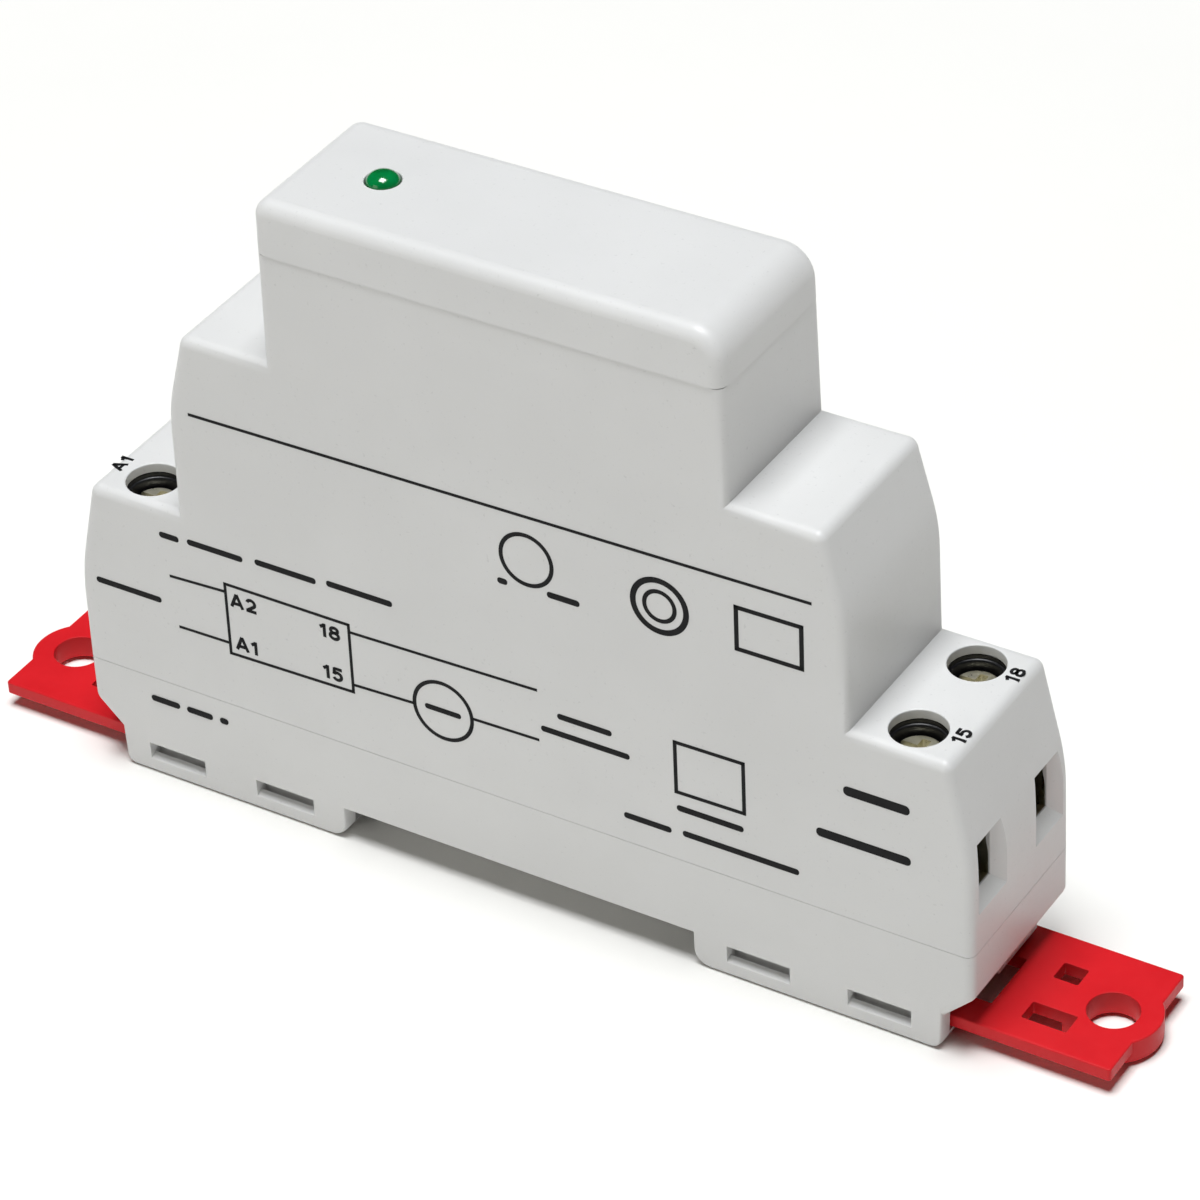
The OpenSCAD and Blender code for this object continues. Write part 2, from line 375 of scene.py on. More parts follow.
def new_object(name: str, solid: Solid) -> bpy.types.Object:
    """Puts a solid into a linked object, in metres, with its faces turned outwards.

    Args:
        name: the object's name.
        solid: the surface.

    Returns:
        The object.
    """
    mesh = bpy.data.meshes.new(name)
    mesh.from_pydata((solid.points * MM).tolist(), [], solid.faces)
    work = bmesh.new()
    work.from_mesh(mesh)
    bmesh.ops.recalc_face_normals(work, faces=work.faces)
    work.to_mesh(mesh)
    work.free()
    obj = bpy.data.objects.new(name, mesh)
    bpy.context.scene.collection.objects.link(obj)
    return obj


def work_in(obj: bpy.types.Object, steps: Work) -> None:
    """Cuts solids out of an object's mesh, or adds them to it, one after another.

    Args:
        obj: the object whose mesh changes.
        steps: how each solid is worked in, in order.
    """
    tools = []
    for joining, solid in steps:
        tool = new_object("tool", solid)
        change = obj.modifiers.new("work", "BOOLEAN")
        change.object, change.operation, change.solver = tool, joining.value, "EXACT"
        tools.append(tool)
    settled = bpy.context.evaluated_depsgraph_get()
    settled.update()
    mesh = bpy.data.meshes.new_from_object(obj.evaluated_get(settled))
    obj.modifiers.clear()
    old, obj.data = obj.data, mesh
    mesh.name = obj.name
    bpy.data.meshes.remove(old)
    for tool in tools:
        spare = tool.data
        bpy.data.objects.remove(tool)
        bpy.data.meshes.remove(spare)


def smooth(obj: bpy.types.Object) -> None:
    """Merges stray doubles, shades the mesh smooth between sharp edges and weights its normals.

    Args:
        obj: the object whose mesh changes.
    """
    work = bmesh.new()
    work.from_mesh(obj.data)
    bmesh.ops.remove_doubles(work, verts=work.verts, dist=2e-6)
    bmesh.ops.dissolve_degenerate(work, edges=work.edges, dist=1e-6)
    work.to_mesh(obj.data)
    work.free()
    obj.data.polygons.foreach_set("use_smooth", np.ones(len(obj.data.polygons), dtype=bool))
    obj.data.set_sharp_from_angle(angle=SHARP)
    change = obj.modifiers.new("normals", "WEIGHTED_NORMAL")
    change.keep_sharp = True
    change.weight = 80


def cut(*solids: Solid) -> list:
    """Steps that cut solids out, one after another."""
    return [(Joining.CUT, solid) for solid in solids]


def add(*solids: Solid) -> list:
    """Steps that add solids, one after another."""
    return [(Joining.ADD, solid) for solid in solids]


def at_end(steps: Work, end: int) -> list:
    """Steps drawn for the right end, turned to the end that they belong to."""
    return [(joining, solid.turned(end)) for joining, solid in steps]


def piece(
    name: str,
    solid: Solid,
    steps: Work,
    look: bpy.types.Material,
    body: str,
    slot: str,
    *nodes: str,
) -> None:
    """Makes a finished piece of the relay.

    Args:
        name: its name.
        solid: the surface that it starts from.
        steps: what is cut from it or added to it.
        look: its material.
        body: the body that it rides on.
        slot: the record's finish that it takes; not used.
        *nodes: the frame's nodes that it stands for.
    """
    obj = new_object(name, solid)
    if steps:
        work_in(obj, steps)
    smooth(obj)
    obj.data.materials.clear()
    obj.data.materials.append(look)
    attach(obj, body)
    if nodes:
        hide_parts(*nodes)
    LOG.info("%s: %d faces on %s", name, len(obj.data.polygons), body)


# ---- finishes ---------------------------------------------------------------------------


class Relief(Enum):
    """Pattern of a finish's fine relief, as the stretch of its noise along X, Y and Z."""

    MOULDED = (1.0, 1.0, 1.0)
    ROLLED = (0.04, 1.0, 1.0)
    DRAWN = (1.0, 1.0, 0.06)
    TURNED = (1.0, 1.0, 8.0)


def linear(colour: Sequence[float]) -> tuple:
    """Display colour to scene colour: ((c + 0.055) / 1.055) ** 2.4 above the straight foot."""
    c = np.asarray(colour, dtype=float)
    return (*np.where(c <= 0.04045, c / 12.92, ((c + 0.055) / 1.055) ** 2.4).tolist(), 1.0)


@dataclass(frozen=True)
class Finish:
    """A surface finish.

    Two colours are mixed by broad cloudy noise, roughness wanders between two values with a
    finer noise, and a third noise gives the relief.
    """

    name: str
    colour: tuple
    shade: tuple
    rough: tuple = (0.35, 0.5)
    metal: float = 0.0
    relief: Relief = Relief.MOULDED
    grain: float = 0.22
    depth: float = 0.006
    cloud: float = 9.0
    coat: float = 0.0
    glow: float = 0.0
    glow_reach: tuple = (0.001, 0.001, 0.001)
    speck: float = 0.0
    reflect: float = 0.5

    def material(self) -> bpy.types.Material:
        """Builds the node material.

        Returns:
            The material, reading Object coordinates.
        """
        look = bpy.data.materials.new(self.name)
        look.use_nodes = True
        tree = look.node_tree
        shader = tree.nodes["Principled BSDF"]
        coords = tree.nodes.new("ShaderNodeTexCoord")
        mapping = tree.nodes.new("ShaderNodeMapping")
        mapping.inputs["Scale"].default_value = self.relief.value
        tree.links.new(coords.outputs["Object"], mapping.inputs["Vector"])
        cloud = self.noise(tree, coords.outputs["Object"], 1 / (self.cloud * MM), 3.0)
        tone = self.colours(tree, coords.outputs["Object"], cloud)
        tree.links.new(tone, shader.inputs["Base Color"])
        wander = self.noise(tree, mapping.outputs["Vector"], 0.3 / (self.grain * MM), 4.0)
        span = tree.nodes.new("ShaderNodeMapRange")
        span.inputs["From Min"].default_value, span.inputs["From Max"].default_value = 0.3, 0.7
        span.inputs["To Min"].default_value, span.inputs["To Max"].default_value = self.rough
        tree.links.new(wander, span.inputs["Value"])
        tree.links.new(span.outputs["Result"], shader.inputs["Roughness"])
        fine = self.noise(tree, mapping.outputs["Vector"], 1 / (self.grain * MM), 5.0)
        bump = tree.nodes.new("ShaderNodeBump")
        bump.inputs["Strength"].default_value = 0.6
        bump.inputs["Distance"].default_value = self.depth * MM
        tree.links.new(fine, bump.inputs["Height"])
        tree.links.new(bump.outputs["Normal"], shader.inputs["Normal"])
        shader.inputs["Metallic"].default_value = self.metal
        shader.inputs["Specular IOR Level"].default_value = self.reflect
        shader.inputs["Coat Weight"].default_value = self.coat
        shader.inputs["Coat Roughness"].default_value = 0.12
        if self.glow:
            shader.inputs["Subsurface Weight"].default_value = self.glow
            shader.inputs["Subsurface Radius"].default_value = self.glow_reach
            shader.inputs["Subsurface Scale"].default_value = 1.0
        return look

    def noise(self, tree: Tree, vector: Socket, scale: float, detail: float) -> Socket:
        """Adds a noise texture.

        Args:
            tree: the material's nodes.
            vector: where the noise is read.
            scale: its repeats in a metre.
            detail: its layers.

        Returns:
            The noise's value.
        """
        node = tree.nodes.new("ShaderNodeTexNoise")
        node.inputs["Scale"].default_value = scale
        node.inputs["Detail"].default_value = detail
        tree.links.new(vector, node.inputs["Vector"])
        return node.outputs["Fac"]

    def blend(
        self, tree: Tree, factor: Socket, low: object, high: object, edges: tuple = (0.35, 0.65)
    ) -> Socket:
        """Mixes two colours by a value that is first stretched between two edges.

        Args:
            tree: the material's nodes.
            factor: the value.
            low: colour, or socket, where the value is low.
            high: colour, or socket, where it is high.
            edges: values that count as low and as high.

        Returns:
            The mixed colour.
        """
        span = tree.nodes.new("ShaderNodeMapRange")
        span.inputs["From Min"].default_value, span.inputs["From Max"].default_value = edges
        mix = tree.nodes.new("ShaderNodeMix")
        mix.data_type = "RGBA"
        tree.links.new(factor, span.inputs["Value"])
        tree.links.new(span.outputs["Result"], mix.inputs["Factor"])
        for name, value in (("A", low), ("B", high)):
            socket = next(s for s in mix.inputs if s.name == name and s.type == "RGBA")
            if isinstance(value, Socket):
                tree.links.new(value, socket)
            else:
                socket.default_value = linear(value)
        return next(s for s in mix.outputs if s.type == "RGBA")

    def colours(self, tree: Tree, vector: Socket, cloud: Socket) -> Socket:
        """Mixes the two colours, with fine dark specks where the finish has them.

        Args:
            tree: the material's nodes.
            vector: the Object coordinates.
            cloud: the broad noise.

        Returns:
            The colour of the surface.
        """
        tone = self.blend(tree, cloud, self.colour, self.shade)
        if not self.speck:
            return tone
        dots = self.noise(tree, vector, 1 / (0.35 * MM), 2.0)
        dark = tuple(c * (1 - self.speck) for c in self.shade)
        return self.blend(tree, dots, tone, dark, (0.66, 0.8))


@dataclass(frozen=True)
class BoardFinish(Finish):
    """Lacquered board: copper runs show as paler bands under the green."""

    def colours(self, tree: Tree, vector: Socket, cloud: Socket) -> Socket:
        """Adds runs laid out as offset courses, seen across the board's face."""
        turn = tree.nodes.new("ShaderNodeMapping")
        turn.inputs["Rotation"].default_value = (math.pi / 2, 0, 0)
        runs = tree.nodes.new("ShaderNodeTexBrick")
        runs.inputs["Scale"].default_value = 1 / (9 * MM)
        runs.inputs["Mortar Size"].default_value = 0.06
        runs.inputs["Color1"].default_value = runs.inputs["Color2"].default_value = (0, 0, 0, 1)
        runs.inputs["Mortar"].default_value = (1, 1, 1, 1)
        tree.links.new(vector, turn.inputs["Vector"])
        tree.links.new(turn.outputs["Vector"], runs.inputs["Vector"])
        base = self.blend(tree, cloud, self.colour, self.shade)
        pale = tuple(min(1.0, c * 1.5) for c in self.shade)
        return self.blend(tree, runs.outputs["Color"], base, pale, (0.2, 0.8))


@dataclass(frozen=True)
class FloorFinish(Finish):
    """Pale floor that glows a little more with distance, to make up for the key light's fall-off."""

    near: float = 0.15
    far: float = 1.65

    def material(self) -> bpy.types.Material:
        """Adds the glow, which grows in a straight line from 0 to 1 with the distance from the middle.

        Returns:
            The material.
        """
        look = super().material()
        tree = look.node_tree
        coords = tree.nodes.new("ShaderNodeTexCoord")
        reach = tree.nodes.new("ShaderNodeVectorMath")
        reach.operation = "LENGTH"
        span = tree.nodes.new("ShaderNodeMapRange")
        span.inputs["From Min"].default_value = self.near
        span.inputs["From Max"].default_value = self.far
        shader = tree.nodes["Principled BSDF"]
        shader.inputs["Emission Color"].default_value = linear(self.colour)
        tree.links.new(coords.outputs["Object"], reach.inputs[0])
        tree.links.new(reach.outputs["Value"], span.inputs["Value"])
        tree.links.new(span.outputs["Result"], shader.inputs["Emission Strength"])
        return look


@dataclass(frozen=True)
class BandedFinish(Finish):
    """Lacquered body with coloured rings that repeat along its length."""

    band: tuple = (0.35, 0.2, 0.12)
    spacing: float = 2.1

    def colours(self, tree: Tree, vector: Socket, cloud: Socket) -> Socket:
        """Adds a ring at every spacing along X."""
        wave = tree.nodes.new("ShaderNodeTexWave")
        wave.bands_direction = "X"
        wave.inputs["Scale"].default_value = math.pi / 10 / (self.spacing * MM)
        wave.inputs["Distortion"].default_value = 0.0
        tree.links.new(vector, wave.inputs["Vector"])
        base = self.blend(tree, cloud, self.colour, self.shade)
        return self.blend(tree, wave.outputs["Fac"], base, self.band, (0.82, 0.86))


FINISHES = {finish.name: finish for finish in (
    Finish(
        "case_plastic", (0.866, 0.866, 0.862), (0.852, 0.852, 0.848), (0.36, 0.47), grain=0.16,
        depth=0.0035, cloud=14.0, speck=0.05, glow=0.06, glow_reach=(0.0006, 0.0006, 0.0005),
    ),
    Finish(
        "clip_red", (0.85, 0.13, 0.16), (0.82, 0.115, 0.145), (0.34, 0.46), grain=0.2, depth=0.003,
        cloud=6.0, glow=0.08, glow_reach=(0.0008, 0.0002, 0.0002), reflect=0.2,
    ),
    Finish(
        "lamp_green", (0.0, 0.5, 0.25), (0.0, 0.44, 0.21), (0.1, 0.17), grain=0.4, depth=0.001,
        cloud=1.5, coat=0.6, glow=0.3, glow_reach=(0.0003, 0.0012, 0.0005),
    ),
    Finish(
        "carrier_black", (0.055, 0.055, 0.075), (0.04, 0.04, 0.055), (0.28, 0.42), grain=0.15,
        depth=0.004, cloud=3.0,
    ),
    Finish(
        "print_black", (0.1, 0.1, 0.105), (0.12, 0.12, 0.125), (0.55, 0.7), grain=0.08, depth=0.002,
        cloud=1.2, reflect=0.12,
    ),
    Finish(
        "screw_steel", (0.92, 0.9, 0.82), (0.85, 0.83, 0.73), (0.24, 0.4), 0.85, Relief.TURNED,
        0.25, 0.002, 2.4,
    ),
    Finish(
        "cage_steel", (0.82, 0.8, 0.7), (0.72, 0.69, 0.57), (0.25, 0.45), 1.0, Relief.DRAWN,
        0.12, 0.003, 2.0,
    ),
    Finish(
        "bar_brass", (0.86, 0.77, 0.52), (0.8, 0.69, 0.42), (0.22, 0.4), 1.0, Relief.ROLLED,
        0.1, 0.002, 3.0,
    ),
    BoardFinish(
        "board_green", (0.07, 0.33, 0.17), (0.09, 0.38, 0.2), (0.25, 0.4), grain=0.1, depth=0.003,
        cloud=5.0, coat=0.3,
    ),
    Finish(
        "spreader_aluminium", (0.88, 0.885, 0.89), (0.82, 0.825, 0.83), (0.25, 0.42), 1.0,
        Relief.ROLLED, 0.08, 0.003, 6.0,
    ),
    Finish(
        "pad_grey", (0.75, 0.76, 0.82), (0.7, 0.71, 0.77), (0.7, 0.85), grain=0.3, depth=0.01,
        cloud=2.0, speck=0.2,
    ),
    Finish(
        "package_black", (0.1, 0.1, 0.11), (0.075, 0.075, 0.08), (0.4, 0.6), grain=0.12,
        depth=0.006, cloud=2.0,
    ),
    Finish(
        "tinned_wire", (0.84, 0.84, 0.82), (0.76, 0.76, 0.74), (0.15, 0.3), 1.0, Relief.DRAWN,
        0.08, 0.001, 1.5,
    ),
    Finish(
        "opto_white", (0.93, 0.93, 0.9), (0.9, 0.9, 0.87), (0.4, 0.55), grain=0.12, depth=0.004,
        cloud=3.0,
    ),
    Finish(
        "varistor_blue", (0.1, 0.25, 0.62), (0.08, 0.2, 0.54), (0.12, 0.25), grain=0.6, depth=0.02,
        cloud=2.5, coat=0.5,
    ),
    Finish(
        "capacitor_yellow", (0.88, 0.72, 0.26), (0.84, 0.67, 0.22), (0.35, 0.5), grain=0.15,
        depth=0.003, cloud=4.0,
    ),
    BandedFinish(
        "resistor_tan", (0.87, 0.79, 0.62), (0.83, 0.74, 0.56), (0.2, 0.35), grain=0.2,
        depth=0.004, cloud=1.5, coat=0.3,
    ),
    BandedFinish(
        "diode_black", (0.1, 0.1, 0.11), (0.08, 0.08, 0.085), (0.3, 0.45), grain=0.15, depth=0.003,
        cloud=1.5, band=(0.75, 0.75, 0.76), spacing=4.0,
    ),
    FloorFinish(
        "floor_pale", (0.985, 0.98, 0.965), (0.98, 0.975, 0.96), (0.6, 0.7), grain=2.0, depth=0.01,
        cloud=300.0, reflect=0.1,
    ),
)}


class Looks:
    """Builds each finish's material once and hands it out by name."""

    def __init__(self) -> None:
        """Starts with no material built."""
        self.built: dict = {}

    def __getitem__(self, name: str) -> bpy.types.Material:
        """The material of a finish."""
        if name not in self.built:
            self.built[name] = FINISHES[name].material()
        return self.built[name]


# ---- the case ---------------------------------------------------------------------------


@dataclass
class Case:
    """Base, stepped shell and lid of the housing, with the gaps that show at its seams."""

    looks: Looks
    length: float = 45.0
    width: float = 8.75
    part: float = 11.0
    draft: float = 0.017
    seam: float = 0.05
    fine_seam: float = 0.022
    step: float = 30.14
    shoulder: float = 48.85
    lid_seam: float = 59.8
    top: float = 64.8
    edge: float = 0.86
    ledge: float = 0.1
    lid_edge: float = 1.2
    lid_width: float = 8.04
    lid_lean: float = 0.041
    inside: float = 6.9
    recess: float = 7.75
    roof: float = 0.9
    channel: float = 3.5
    notch: float = 17.9
    seat: float = 3.3
    access_radius: float = 2.5
    lamp_x: float = -14.4
    lamp_hole: float = 1.6

    def half_width(self, z: np.ndarray) -> np.ndarray:
        """Half the width at a height: w - draft * max(0, z - part)."""
        return self.width - self.draft * np.maximum(0, z - self.part)

    def lid_half_width(self, z: np.ndarray) -> np.ndarray:
        """Half the lid's width at a height: w - lean * (z - seam)."""
        return self.lid_width - self.lid_lean * (z - self.lid_seam)

    def slab(self, path: Path, radius: float, half: Law, share: np.ndarray) -> Solid:
        """A side profile given its width, with rounded rims on both side faces.

        A ring at depth d from a side face lies at y = -(half(z) - d), and the other half mirrors it.

        Args:
            path: the profile, in (x, z).
            radius: radius of the rims.
            half: half the width at a height.
            share: how much each edge of the profile takes of a rim.

        Returns:
            The slab.
        """
        inset, depth = edge_rows(radius, self.ledge, 6)
        insets = np.concatenate((inset, inset[::-1]))
        depths = np.concatenate((depth, depth[::-1]))[:, None]
        side = np.repeat((-1.0, 1.0), len(inset))[:, None]

        def across(rings: np.ndarray) -> np.ndarray:
            """Place of every ring point across the case."""
            return side * (half(rings[..., 1]) - depths)

        return carried(path, insets, across, Axis.Y, share)

    def middles(self, path: Path) -> np.ndarray:
        """Middle of each edge of an outline."""
        return (path + np.roll(path, -1, axis=0)) / 2

    def moulding(self, name: str, solid: Solid, steps: Work, node: str) -> None:
        """Makes one of the grey mouldings."""
        piece(name, solid, steps, self.looks["case_plastic"], "case", "case_plastic", node)

    def wire_entry(self, side: int) -> Solid:
        """Funnel in the right end wall: a tall opening that widens evenly towards the outside.

        Args:
            side: +1 for the back side, -1 for the printed one.

        Returns:
            The cutter.
        """
        y = ENTRY_Y * side
        path = rectangle(y - 1.4, y + 1.4, 16.2, 21.05)
        level = np.abs(self.middles(path)[:, 1] - 18.6) > 2.3
        opens = np.array((0.0, 0.0, 1.12, 2.3))
        places = np.array((42.6, 43.95, 45.05, 46.2))
        return carried(path, -opens, places, Axis.X, np.where(level, 1.18, 1.0))

    def shell(self) -> None:
        """Stepped upper shell with access holes, wire entries and its cavity."""
        right = [
            (self.length, self.part + self.fine_seam, 0), (self.length, 20.3, 24),
            (42.75, self.step, 1.0), (33.4, self.step, 0), (33.35, 41.0, 18),
            (31.3, self.shoulder, 1.0), (22.5, self.shoulder, 0), (22.36, self.lid_seam - self.seam, 0),
        ]
        path = eased(mirrored(right), 7)
        mid = self.middles(path)[:, 1]
        share = np.where((mid < self.part + 0.2) | (mid > self.lid_seam - 0.2), 0.0, 1.0)
        cavity = [(32.2, 10, 0), (32.2, 39.6, 0), (31.9, 41.6, 0), (31.3, 44.2, 0), (30.3, 47.5, 0)]
        top = self.step - self.roof
        pocket = eased([
            (32, 10, 0), (43.8, 10, 0), (43.8, 18.4, 3), (43.3, 21.6, 3), (41.75, top, 0.3), (32, top, 0),
        ])
        steps = cut(
            box(-43.8, 43.8, -self.recess, self.recess, 10, 12.6),
            block(eased(mirrored(cavity)), -self.inside, self.inside, Axis.Y),
            box(-21.1, 21.1, -6.7, 6.7, 46.8, 60.8),
        )
        for end in ENDS:
            tools = [block(pocket, -self.recess, self.recess, Axis.Y)]
            for side in SIDES:
                rim = circle(TERMINAL_X, TERMINAL_Y * side, self.access_radius)
                tools += [self.wire_entry(side), mouth(rim, 28, self.step, 31, 0.12)]
            steps += at_end(cut(*tools), end)
        self.moulding("case_shell", self.slab(path, self.edge, self.half_width, share), steps, "housing_body")

    def clip_room(self) -> list:
        """Channel for the clip at the right end, the pockets beside it and the ribs above it."""
        foot = [(10, 1.35), (10, 3.15), (7.4, 3.15), (7.4, 1.05), (7.85, 1.05), (8.1, 1.75), (8.75, 1.35)]
        steps = cut(
            box(16.9, 45.5, -7.25, 7.25, 1, self.channel),
            box(16.9, 45.5, -6.3, 6.3, -1, 1.1),
        )
        for side in SIDES:
            outline = np.array([(side * y, z) for y, z in foot])[::side]
            steps += cut(*(block(outline, x0, x1, Axis.X) for x0, x1 in ((21.3, 27.5), (33.1, 39.2))))
            steps += add(box(20, 41, side * 4.6 - 0.5, side * 4.6 + 0.5, 2.9, 3.6))
        stop = block(rectangle(30.2, 31.6, -0.9, 0.9, 0.2), 1.6, 3.6, Axis.Z)
        return steps + add(stop, self.lip())

    def base(self) -> None:
        """Base with two hollow feet, side pockets, clip channels and the tongue under the shell."""
        right = [
            (self.notch, self.seat, 0), (self.notch, 0, 1.6), (42.0, 0, 1.0), (42.12, 3.52, 0),
            (self.length, 6.32, 1.3), (self.length, self.part - self.fine_seam, 0),
        ]
        path = eased(mirrored(right), 6)
        mid = self.middles(path)[:, 1]
        share = np.where(mid > self.part - 0.2, 0.0, np.where(mid < 3.51, 0.25, 1.0))
        hollow = eased(mirrored([(41.3, 4.9, 0), (42.9, 6.7, 0), (42.9, 13, 0)]))
        steps = add(block(rectangle(-43.6, 43.6, -7.6, 7.6, 0.6), 10.2, 12.4, Axis.Z))
        steps += cut(block(hollow, -self.inside, self.inside, Axis.Y))
        for end in ENDS:
            x0, x1 = sorted((21 * end, 24 * end))
            steps += at_end(self.clip_room(), end)
            steps += add(box(x0, x1, 0.9, 2.2, 4.8, 8), box(x0, x1, 4.2, 5.5, 4.8, 8))
        self.moulding("case_base", self.slab(path, self.edge, self.half_width, share), steps, "base")

    def lip(self) -> Solid:
        """Low raised bead along the lower edge of an end, above the clip channel."""
        bead = eased([(41.9, 3.12, 0), (43.4, 3.12, 0.06), (43.4, 3.55, 0.1), (42.3, 3.75, 0)], 3)
        return block(bead, -1.0, 6.0, Axis.Y, 0.06, 2)

    def lid(self) -> None:
        """Lid with its spigot, hollow underneath, and a hole for the lamp."""
        low = self.lid_seam + self.seam
        path = eased([(22.45, low, 0), (22.45, self.top, 3.0), (-22.45, self.top, 1.5), (-22.45, low, 0)], 10)
        share = np.where(self.middles(path)[:, 1] < low + 0.01, 0.0, 1.0)
        steps = add(box(-20.95, 20.95, -6.55, 6.55, self.lid_seam - 1.9, low + 0.2))
        steps += cut(
            box(-19.9, 19.9, -5.6, 5.6, self.lid_seam - 2.5, self.top - 1.3),
            mouth(circle(self.lamp_x, 0, self.lamp_hole), 60, self.top, 66, 0.12),
        )
        self.moulding("case_lid", self.slab(path, self.lid_edge, self.lid_half_width, share), steps, "lid")

    def lamp(self) -> None:
        """Lamp: a flanged stem under a dome that is half an oval: (r cos a, h + 1.02 sin a)."""
        radius, base, dome = 1.5, self.top - 4.5, self.top - 0.25
        climb = np.radians(np.linspace(0, 86, 12))
        cap = np.column_stack((radius * np.cos(climb), dome + 1.02 * np.sin(climb)))
        stem = [(1.85, 0), (1.9, 0.1), (1.9, 0.9), (1.8, 1.0), (radius, 1.0)]
        outline = np.concatenate((np.array(stem) + (0, base), cap))
        solid = lathe(outline).moved((self.lamp_x, 0, 0))
        piece("lamp_dome", solid, (), self.looks["lamp_green"], "case", "lamp_green", "indicator_led")

    def build(self) -> None:
        """Builds every piece of the case."""
        self.base()
        self.shell()
        self.lid()
        self.lamp()


# ---- slide clips ------------------------------------------------------------------------


@dataclass
class SlideClip:
    """Flat red clip with windows, a slot for its stop and an eyelet for a screw."""

    looks: Looks
    inner: float = 26.6
    outer: float = 56.9
    half: float = 6.95
    low: float = 1.3
    high: float = 2.6
    rim: float = 0.15
    corner: float = 0.3
    slot_edge: float = 0.06
    stop_edge: float = 0.08
    windows: tuple = ((40.6, 44.3, -4, 2.4), (47.3, 51.5, -4.4, -2.15), (47.3, 49.6, 1.45, 3.6))
    stop_slot: tuple = (29.9, 40.9, -1.2, 1.2)
    side_slots: tuple = ((30.5, 38, -5.8, -5.0), (30.5, 38, 5.0, 5.8))
    eye: tuple = (53.7, 4.3, 2.3)

    def through(self, path: Path, flare: float) -> Solid:
        """A cutter through the plate."""
        return both_mouths(path, self.low, self.high, flare)

    def build(self, end: int) -> None:
        """Builds the clip at one end of the case.

        Args:
            end: +1 for the right end, -1 for the left.
        """
        name = "left" if end < 0 else "right"
        plate = rectangle(self.inner, self.outer, -self.half, self.half, self.corner)
        x, boss, hole = self.eye
        thin = np.array(((26.0, 2.1), (29.6, 2.1), (30.1, 2.7), (26.0, 2.7)))
        steps = add(block(circle(x, 0, boss, 64), 0.35, self.high, Axis.Z, self.rim))
        steps += cut(
            block(thin, -8, 8, Axis.Y),
            both_mouths(circle(x, 0, hole, 56), 0.35, self.high, 0.07),
            *(self.through(rectangle(*w, 0.15), self.slot_edge) for w in self.windows),
            self.through(rectangle(*self.stop_slot, 0.2), self.stop_edge),
            *(self.through(rectangle(*s, 0.15), self.slot_edge) for s in self.side_slots),
        )
        solid = block(plate, self.low, self.high, Axis.Z, self.rim).turned(end)
        look, body = self.looks["clip_red"], f"clip_{name}_body"
        piece(f"slide_clip_{name}", solid, at_end(steps, end), look, body, "clip_red", f"clip_{name}")


# ---- terminals --------------------------------------------------------------------------


